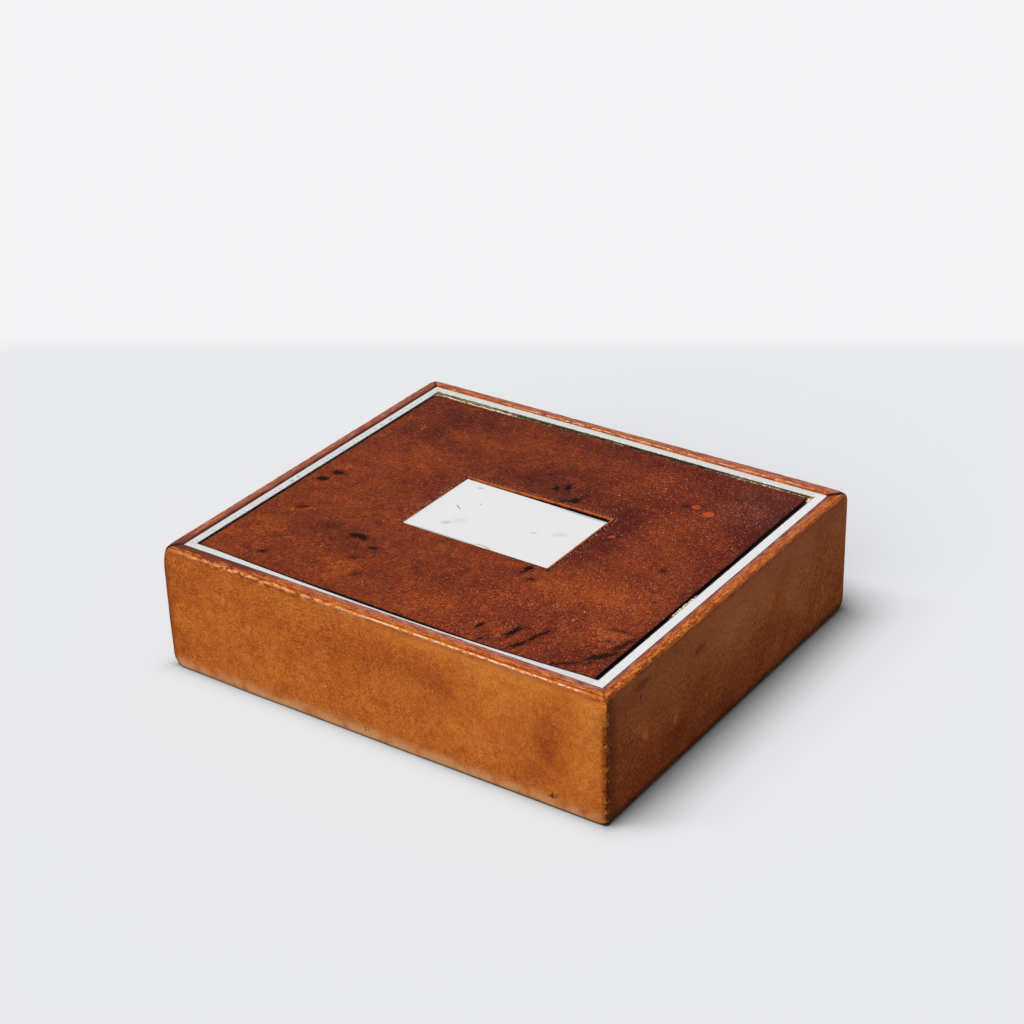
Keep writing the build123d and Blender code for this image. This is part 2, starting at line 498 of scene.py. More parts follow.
# Broad tones on the lid: x, y, half length along x, half width along y, lighter or darker
LID_TONES = (
    (-66, 59, 22, 12, -1.3), (-20, 66, 22, 6, -0.6), (25, 66, 34, 6, -0.9), (66, 62, 20, 10, -1.1),
    (80, 38, 12, 24, -1.2), (82, -5, 5, 20, -0.7), (71.7, -65.6, 16, 7, -0.9),
    (-39, 6, 9, 16, -0.8), (-72, 40, 12, 8, -0.7), (-44, 36, 14, 9, -0.4), (0, 30, 34, 9, -1.4),
    (0, 44, 16, 8, -1), (37, 16, 7, 18, -1.5), (37, -8, 5, 8, -0.8), (52, 42, 14, 8, -0.7),
    (-10, -24, 24, 4, -0.4), (-38, -44.9, 18, 7, -0.5), (-52, -40, 12, 12, -0.6),
    (-0.1, -47.8, 12, 6, -0.7), (62, -28, 19, 9, 1.35), (38, -32, 9, 7, 1.2), (74, -48, 9, 7, 1.55),
    (55, 4, 12, 10, 0.3), (-50, 26, 9, 7, 0.6), (-75, -54, 10, 12, 0.5), (-34.4, -57.4, 8, 8, 0.5),
    (7, -64.6, 18, 7, 0.4), (-77, 2, 8, 18, 0.1), (72, 56, 14, 14, -0.4), (38, 13, 9, 18, -0.65),
    (83, 46, 5, 20, -0.7), (30, 69, 40, 4, -0.4),
)

# Broad tones on the front: x, z, half length, half height, golden or reddish
FRONT_TONES = (
    (-82, 22, 14, 8, 0.7), (-50, 14, 12, 8, 0.4), (-28, 44, 20, 4, 0.5), (4, 33, 26, 6, -0.7),
    (26, 36, 5, 8, -0.5), (28, 29, 4, 6, -0.6), (-90, 36, 4, 12, -0.5), (-88, 12, 5, 5, -0.5),
    (54, 37, 18, 10, 1.5), (71, 24, 6, 9, -1.8), (88, 30, 7, 16, 1.6), (40, 17, 10, 8, 1.4),
    (62, 10, 8, 5, -0.9), (88, 12, 8, 6, 0.9), (91, 43, 7, 7, 1.6), (8, 11, 20, 5, 0.2),
    # The golden band high on the front, under the rim, is painted sheen
    (48, 46.5, 44, 5, 1.5), (-86, 46, 12, 5, -0.6),
)

# Broad tones on the right side: y, z, half length, half height, lighter or darker
RIGHT_TONES = (
    (0, 38, 26, 11, 2.1), (42, 32, 20, 12, 0.9), (-68, 44, 16, 6, -1.5), (-36, 45, 12, 4, -0.8),
    # The darker tones low down, towards the foot, are partly painted shade
    (75, 20, 8, 16, 0.4), (-60, 28, 10, 7, 0.5), (-44, 14, 14, 6, -1.2), (-20, 6, 50, 6, -0.8),
    (20, 14, 20, 5, -0.4),
)

# Dark marks on the sides: x, y and z of the middle, and the radius
SIDE_MARKS = (
    (-5.5, -BOX_Y, 3.9, 0.9), (-3.5, -BOX_Y, 3.6, 0.7), (73, -BOX_Y, 4.7, 0.9),
    (75, -BOX_Y, 4.4, 0.7), (-86, -BOX_Y, 16.9, 0.7), (BOX_X, -62, 40, 0.6),
)

# Light nicks on the sides: x, y and z of the middle, and the radius
SIDE_NICKS = (
    (82.5, -BOX_Y, 21.1, 0.5), (81.2, -BOX_Y, 19.6, 0.5), (1, -BOX_Y, 21.6, 0.5),
    (-82.6, -BOX_Y, 21, 0.6), (BOX_X, -60.6, 24.4, 1), (BOX_X, -58.6, 22.6, 1.3),
    (BOX_X, -39.6, 18.6, 1.2), (BOX_X, 25.6, 30.2, 1.2), (BOX_X, 28.4, 33.4, 0.9),
    (BOX_X, -19, 17, 0.9),
)

# Marks on the plate: x, y, half length, half width, turn, strength, colour
PLATE_MARKS = (
    (-19.6, -12.7, 2.2, 1.2, 34, 0.34, (150, 150, 152)),
    (-16.5, -9.5, 4.5, 2, 40, 0.16, (160, 160, 162)),
    (21.4, 1.3, 3.4, 1.6, 34, 0.22, (168, 168, 170)),
    (12.5, -2.5, 1.6, 0.6, 34, 0.35, (120, 120, 120)),
    (-24.2, 15.9, 1.3, 0.6, 20, 0.45, (110, 108, 104)),
    (-16.7, 5.5, 0.4, 0.4, 0, 0.75, (60, 56, 50)),
    (-22.6, -0.6, 2.3, 0.28, -32, 0.8, (70, 66, 60)),
    # The long grey mark along the back edge is painted shade
    (22, 18.7, 16, 1.4, -1, 0.5, (150, 150, 142)),
    (-6, -21.2, 26, 0.7, -1, 0.55, (160, 156, 130)),
    (2.2, -20.5, 3.4, 1, 0, 0.8, (172, 150, 96)),
    (2, -20.9, 2.8, 0.8, 0, 0.95, (238, 238, 236)),
)

FAR = 3
NEAR_SIDE = 1.5
EDGE_LIMIT = 12


def nearest_edge(x, y, blots):
    """Distance in mm from a point to the nearest blot's edge, less than 0 inside it."""
    least = FAR
    for middle_x, middle_y, half_length, half_width, turn in blots:
        if abs(x - middle_x) > half_length + FAR or abs(y - middle_y) > half_length + FAR:
            continue
        c, s = math.cos(math.radians(turn)), math.sin(math.radians(turn))
        u = ((x - middle_x) * c + (y - middle_y) * s) / half_length
        v = ((y - middle_y) * c - (x - middle_x) * s) / half_width
        least = min(least, (math.hypot(u, v) - 1) * half_width)
    return least


def nearest_mark(place, marks):
    """Distance in mm from a place on the sides to the nearest mark's edge. Marks are tall."""
    least = FAR
    for x, y, z, radius in marks:
        away = Vector(place) - Vector((x, y, z))
        away.z *= 0.6
        least = min(least, away.length - radius)
    return least


def tone_total(x, y, tones):
    """The broad tones added up at a place."""
    return sum(strength * spot(x, y, *blot) for *blot, strength in tones)


# Leather round the body

RIM_CROWN = 0.42
SEAM_DEPTH = 0.22
SEAM_WIDTH = 0.3


def corner_offset(x, y):
    """Distance from the mitre line of the nearest corner, across it."""
    return abs((BOX_X - abs(x)) - (BOX_Y - abs(y))) / math.sqrt(2)


def wrap_bend(x, y, inset, height):
    """How the leather lies: gentle waves on the sides, lumps on the rim, seams at the corners."""
    outside = inset < LEATHER and height > WRAP_BOTTOM + 0.5
    on_rim = smooth(WALL_TOP - 0.6, WALL_TOP + 0.3, height)
    if height > LEDGE and y < -LID_Y:
        height += RIM_CROWN * smooth(0.8, 3.6, inset) * smooth(LEDGE, RIM_TOP, height)
    if outside:
        inset += 0.1 * wave(x, y, height, 28, 1.3) + 0.04 * wave(x, y, height, 5, 2.7)
    if on_rim:
        if abs(x) > LID_X - 1 and abs(y) > LID_Y - 1:
            seam = bell(corner_offset(x, y), SEAM_WIDTH) * (2 if y > 0 and x > 0 else 1)
            height -= on_rim * SEAM_DEPTH * seam
        height += on_rim * (0.07 * wave(x, y, 0, 3.1, 5.1) + 0.05 * wave(x, y, 0, 1.3, 8.2))
        inset += on_rim * 0.12 * wave(x, y, height, 1.6, 3.3) * bell(inset - 0.5, 0.8)
    if inset < LEATHER:
        inset += worn_corner(x, y, height)
    edge = max(0, 1 - math.hypot(BOX_X - x, BOX_Y + y) / 4)
    if outside and edge > 0:
        inset += edge * (0.24 * wave(x, y, height, 1.9, 7.7) + 0.16 * wave(x, y, height, 1, 9.1))
        groove = bell(y + BOX_Y - 2.1, 0.5) if x > BOX_X - 1 else 0
        inset += 0.16 * groove * (1 - on_rim)
    return inset, height


def front_belly(x):
    """How much of the front's lower bulge shows at a place along it."""
    return smooth(-88, -50, x) * (1 - 0.5 * smooth(0, 80, x))


def swell(x, y, z):
    """How far the sides stand out: the back at its right end, the front at its left and below."""
    right = back = front = drop = 0
    if y > BOX_Y - 3:
        back = 0.95 * smooth(-60, 95, x)
    if y < -BOX_Y + 3:
        belly = front_belly(x)
        front = 0.85 * smooth(-30, -95, x) * smooth(50, 41, z) * (1 - 0.35 * smooth(20, 4, z))
        front += 0.7 * belly * smooth(34, 3, z)
        drop = (0.3 + 0.1 * belly) * smooth(6, 1, z)
    if x > BOX_X - 3:
        right = 0.3 * smooth(40, 83, y)
    if x < -BOX_X + 3:
        right = 0.2 * smooth(43, 48, z)
    return right, back - front, drop


def worn_corner(x, y, height):
    """How far the ends of the four upright edges are rubbed round, most of all at the front left."""
    beside = math.hypot(BOX_X - abs(x), BOX_Y - abs(y))
    if beside > 8:
        return 0
    foot = 0.9 if x < 0 else 0.6
    low = foot * smooth(WRAP_BOTTOM + 4.5, WRAP_BOTTOM, height) ** 1.5
    high = 0.6 * smooth(RIM_TOP - 3, RIM_TOP - 0.5, height)
    highlight_dashes = 0.4 if x > 0 and y < 0 else 0
    return (low + high) * bell(beside, 2.4) + highlight_dashes * bell(beside, 1.3)


def rim_spread(x, y, z):
    """The sides stand out, and the rim's inner edge follows the lid."""
    right, along, drop = swell(x, y, z)
    x += right * smooth(BOX_X - 3, BOX_X - 0.5, abs(x))
    y += along * smooth(BOX_Y - 3, BOX_Y - 0.5, abs(y))
    z -= drop
    if z < LEDGE:
        return x, y, z
    left = smooth(-BOX_X + 1.6, -BOX_X + 4.4, x) * smooth(-80, -89, x)
    back = smooth(BOX_Y - 1.6, BOX_Y - 4, y) * smooth(68, 77, y)
    front = smooth(-BOX_Y + 2, -BOX_Y + 4.4, y) * smooth(-68, -77, y)
    amount = 0.7 - 0.25 * smooth(-10, 15, x) - 0.2 * smooth(15, 60, x)
    return x - 0.5 * left, y + amount * back + 0.2 * front, z


def wrap_section():
    """The turned-over leather in section, from inside the rim round to the underside and back."""
    crown = RIM_WIDTH - INNER_RADIUS
    under = WRAP_BOTTOM + PARED
    return [
        *line((RIM_WIDTH, LEDGE), (RIM_WIDTH, RIM_TOP - INNER_RADIUS), 5),
        *arc(crown, RIM_TOP - INNER_RADIUS, INNER_RADIUS, 0, 90, 5),
        *line((crown, RIM_TOP), (OUTER_RADIUS, RIM_TOP), 9)[1:],
        *arc(OUTER_RADIUS, RIM_TOP - OUTER_RADIUS, OUTER_RADIUS, 90, 180, 12),
        *line((0, RIM_TOP - OUTER_RADIUS - 0.8), (0, WRAP_BOTTOM + BOTTOM_RADIUS), 44),
        *arc(BOTTOM_RADIUS, WRAP_BOTTOM + BOTTOM_RADIUS, BOTTOM_RADIUS, 180, 270, 5),
        *line((2.4, WRAP_BOTTOM), (TURNED_UNDER, WRAP_BOTTOM), 4),
        (TURNED_UNDER, WRAP_BOTTOM),
        (TURNED_UNDER, under),
        *line((TURNED_UNDER - 1, under), (LEATHER, under), 2),
        (LEATHER, under),
        (LEATHER, WALL_TOP),
        (RIM_WIDTH - PARED, WALL_TOP),
        (RIM_WIDTH - PARED, LEDGE),
    ]


def sides_tone(x, y, z):
    """Broad tones on the front and right sides, and a like pattern on the two that don't show."""
    if y < -BOX_Y + NEAR_SIDE:
        return tone_total(x, z, FRONT_TONES)
    if x > BOX_X - NEAR_SIDE:
        return tone_total(y, z, RIGHT_TONES)
    return 0.9 * wave(x, y, z, 24, 4.4)


def side_gloom(x, y, z):
    """Painted shade in patches on the right side, just under the rim."""
    if x < BOX_X - NEAR_SIDE:
        return 0
    smudges = spot(y, z, -61, 44, 7, 2.6), spot(y, z, -24, 38, 6, 2.6)
    return max(*smudges, 0.6 * spot(y, z, -40, 46, 9, 2))


def seam_line(x, y, z):
    """The dark mitred seams of the rim, widest at the back right and faint at the front right."""
    across = corner_offset(x, y)
    on_rim = smooth(WALL_TOP - 1, WALL_TOP, z) * smooth(7.5, 6, BOX_X - abs(x))
    if x > 0 and y > 0:
        inwards = smooth(0.3, 1.5, min(BOX_X - x, BOX_Y + 0.9 - y))
        return bell(across - 0.35 - 0.25 * wave(x, y, 0, 3, 1.1), 0.75) * on_rim * inwards
    if x > 0:
        return 0.12 * bell(across, 0.35) * on_rim
    return bell(across, 0.7 if y < 0 else 0.35) * on_rim


# What shows on the rim, each from 0 to about 1. warmth is 0 where a painted mauve sheen stands for
# the pale surroundings seen in its glossy top, and 1 where its orange shows; dusk is dark, crease is
# painted shade along a fine groove and the parting line, arris is painted highlight along its outer
# edge, polish is painted highlight dashes, pitted has dark pits, torn is lumpy with painted
# highlight on its lumps and painted shade between them, and gilt is golden.
RIM_MARKS = ("warmth", "dusk", "crease", "arris", "polish", "pitted", "torn", "gilt")


def front_rim(x, y, inset):
    reach = 2.5 + smooth(-25, -50, x)
    outer = 1.4 - 0.6 * smooth(-52, -66, x)
    ends = smooth(88, 82, x) * smooth(-92, -80, x)
    return {
        "warmth": smooth(reach + 0.4, reach - 0.4, inset),
        "dusk": 1.5 * smooth(-35, -60, x) * smooth(outer, outer + 1.6, inset),
        "crease": (0.8 if x < -20 else 0.95) * bell(inset - 1 - 0.5 * smooth(0, -40, x), 0.26),
        "arris": bell(inset - 0.3, 0.5),
        "polish": bell(inset - 0.22, 0.12) * (0.4 + 0.6 * smooth(-25, 5, x)) * ends,
        "pitted": (0.7 - 0.4 * smooth(-40, 0, x)) * bell(inset - 1.9, 0.9),
        "torn": bell(inset - 0.5, 0.9) * smooth(5, -30, x) * (0.3 + 0.7 * smooth(-92, -78, x)),
        "gilt": bell(inset - 1.8, 0.7),
    }


def right_rim(x, y, inset):
    return {
        "warmth": smooth(3.9, 3.1, inset) * (1 - 0.35 * smooth(-5, 15, y)),
        "crease": 0.8 * bell(inset - 0.55, 0.3) + 0.7 * bell(inset - RIM_WIDTH + 0.6, 0.25),
        "arris": 0.5 * bell(inset - 0.3, 0.5),
        "pitted": bell(inset - 1.5, 1.1) * (1 - 0.4 * smooth(-30, 20, y)),
        "torn": 0.55 * bell(inset - 1.2, 1) * smooth(0, -40, y),
        "gilt": 0.8 * bell(inset - 1.5, 0.7),
    }


def back_rim(x, y, inset):
    return {
        "warmth": smooth(2.3, 3.1, inset),
        "polish": 0.9 * bell(inset - 3.7, 0.25) * smooth(-70, -30, x) * smooth(84, 74, x),
        "pitted": 0.6 * bell(inset - 3.4, 0.9),
        "gilt": bell(inset - 3.4, 0.7),
    }


def left_rim(x, y, inset):
    return {
        "warmth": 0.3,
        "dusk": smooth(2, 4.4, inset),
        "crease": 0.7 * bell(inset - 4.1, 0.35),
        "pitted": 0.35 * bell(inset - 2, 1.5),
    }


def rim_marks(x, y):
    """All of the rim's marks at a place, from the side that it is on and its two worn corners."""
    insets = {right_rim: BOX_X - x, left_rim: BOX_X + x, front_rim: BOX_Y + y, back_rim: BOX_Y - y}
    side = min(insets, key=insets.get)
    marks = {**dict.fromkeys(RIM_MARKS, 0), **side(x, y, insets[side])}
    if side in (front_rim, left_rim):
        corner = 1.6 * spot(x, y, 2 - BOX_X, 2 - BOX_Y, 5)
        marks["dusk"] = max(marks["dusk"], corner, 1.3 * smooth(-62, -78, y) * smooth(-85, -92, x))
    if side in (front_rim, right_rim):
        marks["pitted"] = max(marks["pitted"], spot(x, y, BOX_X, -BOX_Y, 7))
    return marks


def wrap_fields(x, y, z):
    """What the leather's material reads. Edges are distances in mm from an upright edge."""
    return {
        **rim_marks(x, y),
        "rim": smooth(WALL_TOP - 1.2, WALL_TOP - 0.2, z),
        "long_side": 1 if BOX_Y - abs(y) < BOX_X - abs(x) else 0,
        "seam": seam_line(x, y, z),
        "tone": sides_tone(x, y, z),
        "gloom": side_gloom(x, y, z),
        "mark": nearest_mark((x, y, z), SIDE_MARKS),
        "nick": nearest_mark((x, y, z), SIDE_NICKS),
        "edge": min(EDGE_LIMIT, abs((BOX_Y + y) - (BOX_X - x))) if x > 0 > y else EDGE_LIMIT,
        "left_edge": min(EDGE_LIMIT, BOX_X + x),
    }


def box_leather():
    """Caramel calf: golden and reddish clouds, fine grain, dark pores, painted sheen, light and shade, and a
    worn, pitted rim.
    """
    g = Graph("box_leather")
    height = g.axis("Z")
    cloud = g.noise(15, 4, 1, bend=0.6)
    drift = g.noise(3.6, 3, 2)
    worm = g.noise(1.7, 3, 20, (1, 1, 1.3), rough=0.62, bend=1.6)
    fleck = g.noise(0.9, 3, 3, (1, 1, 1.4), rough=0.65)
    grain = g.noise(0.5, 3, 4, rough=0.7)
    fibre = g.noise(0.3, 2, 5, (1, 1, 5))
    side = g.step(g.facing("X"), 0.5, 0.8)
    front = g.step(g.facing("Y"), 0.5, 0.8)
    calm = g.minus(1, g.times(side, 0.75))
    coarse = g.minus(1.15, g.times(g.step(g.axis("X"), -20, 70), 0.6))
    side_grain = g.times(side, g.total((fibre, 1.7), (cloud, 0.25)))
    mottling = g.times(calm, g.total((drift, 0.3), (worm, 0.6), (fleck, 0.5)))
    face = g.total(
        (cloud, 0.3), (mottling, 1, 0), (g.times(coarse, g.total((grain, 1.25))), 1, 0),
        (g.field("tone"), 0.12, -4.3), (side_grain, 1, 0),
    )
    golden = g.ramp(
        face, (0.12, 144, 60, 32), (0.4, 200, 103, 44), (0.6, 227, 126, 50), (0.88, 254, 158, 70),
    )
    # The sides' own ramp: less golden, with a greyish-purple tint that is painted sheen
    side_sheen_ramp = g.ramp(
        face, (0.12, 134, 58, 36), (0.4, 188, 92, 46), (0.6, 216, 116, 58), (0.88, 246, 160, 94),
    )

    # Blush, pores, strokes, hairs, pale specks and scratches
    pores = g.specks(1.9, 0.26, 0.5, 6, (1, 1, 1.6))
    scratch = g.times(g.lines(5, 0.02, 23, (1, 1, 3)), g.patch(7, 1, 24, 0.55, 0.65))
    colour = g.paint(
        g.mix(side, golden, side_sheen_ramp),
        ((178, 76, 40), g.patch(6, 4, 21, 0.48, 0.66, rough=0.65, bend=1), calm, 0.3),
        ((112, 46, 26), pores, 0.6),
        ((128, 54, 28), g.specks(1.6, 0.2, 0.5, 22, (1, 1, 4)), 0.4),
        ((90, 38, 24), g.specks(1.1, 0.19, 0.5, 55, (1, 1, 5)), side, 0.75),
        ((250, 182, 104), g.specks(1.7, 0.22, 0.45, 19, (1, 1, 1.8)), calm, 0.4),
        ((230, 120, 44), scratch, side, 0.5),
    )

    # A pale foot at the front, painted shade along the foot of the sides, painted sheen under the front
    # rim, painted light high on the sides, painted shade in patches under the right rim, nicks and marks
    side_foot_shade = g.step(g.plus(height, g.total((drift, 3))), 4.5, 1.2)
    brow_sheen = g.step(g.plus(height, g.total((worm, 4))), RIM_TOP - 6.5, RIM_TOP - 0.8)
    sheen_patches = g.patch(9, 3, 25, 0.28, 0.66, rough=0.6)
    sheen_right = g.plus(g.times(g.step(g.axis("X"), -40, 20), 0.55), 0.2)
    shadowed = g.step(g.plus(g.field("gloom"), g.total((worm, 0.9), (fleck, 0.6))), 0.35, 0.95)
    ragged = g.total((fleck, 1.6), (grain, 1))
    colour = g.paint(
        colour,
        ((240, 178, 124), g.step(height, 6.5, 1.6), g.patch(6, 3, 8, 0.22, 0.62), front, 0.8),
        # Painted shade along the foot of the sides
        ((70, 34, 26), side_foot_shade, side, 0.65),
        # Painted sheen under the front rim
        ((253, 150, 66), brow_sheen, sheen_patches, front, sheen_right),
        # Painted light: the sides lighter high up
        ((226, 140, 96), g.step(height, 26, 46), side, 0.35),
        # Painted shade in patches under the right rim
        ((82, 44, 36), shadowed, 0.5),
        ((255, 138, 54), g.step(g.plus(g.field("nick"), ragged), 0.2, -0.3), 0.85),
        ((72, 36, 22), g.step(g.plus(g.field("mark"), ragged), 0.2, -0.3), 0.8),
    )

    # The worn front right edge with a beaded line beside it, painted shade on the right side beside it
    # and on the front where it turns, and painted shade along the front left edge
    uneven = g.total((fleck, 1.2), (drift, 1.6))
    reach = g.plus(g.field("edge"), uneven)
    beside = g.plus(g.times(g.step(reach, 8, 2), 0.52), g.times(g.step(reach, 1.6, 0.3), 0.3))
    lumps = g.patch(1.7, 3, 16, 0.52, 0.6, rough=0.65)
    beads = g.times(g.step(reach, 2, 1.2), g.step(reach, -0.6, 0.4), lumps)
    nose_height = g.plus(height, g.total((drift, 12), (worm, 8)))
    nose_ends = g.math("MAXIMUM", g.step(nose_height, 40, 46), g.step(nose_height, 4, 1.5))
    colour = g.paint(
        colour,
        # Painted shade: a darker band down the right side beside the edge, then a dark strip on the front
        ((72, 32, 18), beside, side),
        ((120, 46, 18), g.step(reach, 3.4, 0.6), front, 0.7),
        ((242, 138, 52), beads, 0.8),
        ((112, 38, 14), g.patch(1.1, 2, 27, 0.58, 0.64), g.step(reach, 2.2, 1.2), 0.75),
        # Painted shade along the front left edge
        ((112, 56, 40), g.step(g.plus(g.field("left_edge"), uneven), 3.6, 0), 0.6),
        ((255, 150, 66), g.step(reach, 5, 1.4), g.step(g.facing("Y"), 0.3, 0.6), nose_ends, 0.8),
    )

    # The rim
    rim = g.field("rim")
    torn = g.field("torn")
    streak = g.streaks(0.6, 7, 13)
    shreds = g.streaks(1.2, 2, 56)
    pits = g.times(g.patch(1, 3, 18, 0.53, 0.6, rough=0.6), g.field("pitted"))
    # Painted highlight dashes along the rim's edges, which also set the coat
    highlight_dashes = g.times(g.field("polish"), g.step(g.streaks(0.7, 3, 17), 0.47, 0.53))
    across = g.total((fleck, 0.9), (g.streaks(1.1, 4, 12), 1.3))
    warmth = g.step(g.plus(g.field("warmth"), across), 0.25, 0.75)
    # The mauve is painted sheen: the pale surroundings seen in the rim's glossy top
    mauve_sheen = g.ramp(
        g.total((streak, 1.3), (fleck, 0.5), start=0.5),
        (0.18, 104, 54, 46), (0.5, 168, 98, 78), (0.82, 204, 138, 116),
    )
    orange = g.ramp(
        g.total((g.streaks(1, 5, 11), 1.1), (grain, 1.5), (worm, 0.8), start=0.48),
        (0.18, 120, 46, 18), (0.42, 180, 86, 38), (0.62, 206, 110, 46), (0.88, 240, 156, 84),
    )
    worn = g.paint(
        g.mix(warmth, mauve_sheen, orange),
        ((92, 46, 42), g.math("MINIMUM", g.times(g.field("dusk"), 0.58), 0.9)),
        # Painted highlight along the outer edge
        ((238, 140, 66), g.field("arris"), 0.6),
        # Painted shade along the crease
        ((108, 34, 14), g.field("crease"), g.step(g.streaks(1.2, 5, 14), 0.34, 0.52)),
        ((104, 34, 14), pits, 0.85),
        ((240, 138, 46), g.step(g.streaks(1.1, 5, 26), 0.5, 0.64), g.field("gilt"), 0.65),
        # Painted shade between the torn lumps and painted highlight on them
        ((112, 40, 20), torn, g.step(shreds, 0.46, 0.4), 0.85),
        ((250, 172, 88), torn, g.step(shreds, 0.56, 0.62), 0.85),
        # Painted highlight dashes
        ((255, 238, 210), highlight_dashes),
    )
    seam = g.math("MINIMUM", g.times(g.field("seam"), 1.3), 0.95)
    colour = g.paint(g.mix(rim, colour, worn), ((36, 16, 14), seam))

    bump = g.total(
        (fleck, 0.8), (grain, 0.7), (pores, -0.6, 0), (worm, 0.8), (g.times(rim, streak), 1.2, 0),
        (pits, -1.6, 0), (side_grain, 0.7, 0), (g.times(torn, shreds), 4, 0),
        (g.times(beads, front), 1.5, 0),
    )
    rough = g.total((rim, -0.22, 0), (fleck, 0.25), start=0.58)
    return g.finish(
        g.quiet(colour), rough, bump, 0.1,
        specular=0.015, coat=g.times(highlight_dashes, 0.6), coat_roughness=0.2, coat_ior=1.5,
    )


def add_wrap():
    vertices, faces = ring(BOX_X, BOX_Y, CORNER_RADIUS, wrap_section(), 0.9, wrap_bend)
    shape = [rim_spread(*vertex) for vertex in vertices], faces
    add_piece("leather_wrap", shape, box_leather(), "box", "side_leather", wrap_fields)


# The lid

def lid_sag(x, y):
    """How far the lid's top has sunk at a place along its front side."""
    reach = SAG_LEFT_REACH if x < SAG_MIDDLE else SAG_RIGHT_REACH
    across = min(1, abs(x - SAG_MIDDLE) / reach)
    return SAG * (1 - across ** 2) ** 1.05 * smooth(SAG_START, -LID_Y, y)


def lid_spread(x, y, z):
    """The lid isn't quite square: its left and back bands lie a little further out."""
    left = 0.5 + 0.25 * smooth(-LID_X + 0.5, -LID_X + BAND, x)
    left *= smooth(-50, -LID_X + BAND + 1, x)
    back = 0.8 - 0.3 * smooth(-10, 15, x) - 0.2 * smooth(15, 60, x)
    return x - left, y + back * smooth(40, LID_Y - BAND, y), z


def sunk(x, y, z):
    """The lid's top sinks while its underside stays flat on the ledge."""
    share = min(1, max(0, (z - LEDGE) / (BOARD_TOP - LEDGE)))
    return z - lid_sag(x, y) * share


def silver(name, seed):
    """Satin silver plate: fine scratches, faint smudges and small dark specks."""
    g = Graph(name)
    smudge = g.noise(9, 4, seed, bend=1)
    grain = g.noise(0.5, 2, seed + 1)
    brush = g.noise(0.3, 2, seed + 2, (14, 1, 1), 20)
    level = g.total((smudge, 0.3), (grain, 0.1), (brush, 0.1), start=0.5)
    scratch = g.times(g.lines(14, 0.02, seed + 4), g.patch(6, 1, seed + 5, 0.55, 0.7))
    colour = g.paint(
        g.ramp(level, (0.32, 218, 218, 217), (0.6, 240, 239, 239)),
        ((110, 108, 100), g.specks(2.6, 0.24, 0.35, seed + 3), 0.6),
        ((176, 176, 172), scratch, 0.3),
    )
    bump = g.total((brush, 0.5), (grain, 0.3), (scratch, -0.6, 0))
    return g, colour, (g.minus(0.86, level), bump, 0.02)


def band_silver():
    """Silver plate with tarnish along the inner arris and ticks across the left side."""
    g, colour, surface = silver("band_silver", 20)
    spread = g.plus(g.field("arris"), g.total((g.noise(2, 2, 28), 1.2)))
    ticks = g.step(g.noise(0.5, 1, 29, (4, 1, 1)), 0.58, 0.66)
    colour = g.paint(
        colour,
        ((200, 201, 198), g.field("dull"), 0.45),
        ((132, 118, 72), g.step(spread, 0.5, 1), 0.7),
        ((96, 94, 88), ticks, g.field("ribbed"), 0.6),
    )
    return g.finish(colour, *surface, metallic=1)


def band_inside(x, y):
    """1 at the band's inner arris and 0 further out, most of all at the right and the back."""
    depth = max(abs(x) - (LID_X - BAND), abs(y) - (LID_Y - BAND))
    return smooth(0.5, 0, depth) * (1 if x > 80 or y > 70 else 0.5)


def band_fields(x, y, z):
    return {
        "ribbed": 1 if -LID_X + 1 < x < -LID_X + BAND else 0,
        "dull": 0 if x > LID_X - BAND - 0.5 else 1,
    }


def add_edging():
    """The plated angle round the lid: a flat band on top and a web down the lid's edge."""
    outer, inner = 0.25, 0.15
    seat = BOARD_TOP + 0.05
    section = [
        *line((0, LEDGE), (0, LID_TOP - outer), 4),
        *arc(outer, LID_TOP - outer, outer, 180, 90, 3),
        *line((0.6, LID_TOP), (BAND - inner - 0.3, LID_TOP), 5),
        *arc(BAND - inner, LID_TOP - inner, inner, 90, 0, 3),
        (BAND, seat),
        (WEB, seat),
        *line((WEB, BOARD_TOP - 0.4), (WEB, LEDGE), 3),
        (WEB, LEDGE),
    ]

    def bend(x, y, inset, height):
        height += 0.03 * wave(x, y, 0, 14, 6.1) * smooth(BOARD_TOP, LID_TOP, height)
        return inset, sunk(x, y, height)

    flat, faces = ring(LID_X, LID_Y, 0.5, section, 1.5, bend)
    shape = [lid_spread(*vertex) for vertex in flat], faces
    edging = add_piece(
        "lid_edging", shape, band_silver(), "lid", "lid_frame", band_fields,
    )
    add_field(edging, "arris", [band_inside(x, y) for x, y, z in flat])


def inlay_edge(x, y):
    """Distance in mm to the nearest outer edge of the lid's leather."""
    return min(x - INLAY_LEFT, INLAY_RIGHT - x, y - INLAY_FRONT, INLAY_BACK - y)


def window_edge(x, y):
    """Distance in mm from the window's edge, outside it."""
    dx = max(WINDOW_LEFT - x, x - WINDOW_RIGHT, 0)
    dy = max(WINDOW_FRONT - y, y - WINDOW_BACK, 0)
    return math.hypot(dx, dy)


def shrunk(x, y):
    """How far the right and back edges of the lid's leather have drawn in, in parts."""
    back = 0.65 * smooth(0, -30, x) + 0.55 * smooth(32, 48, x)
    return 0.4 * smooth(28, 40, y), back


def window_pull(x, y):
    """How far the window's back edge comes forward at its left end, towards the plate."""
    along = smooth(WINDOW_LEFT - 8, WINDOW_LEFT, x) * smooth(22, -18, x)
    return 0.6 * along * smooth(4, 0, abs(y - WINDOW_BACK))


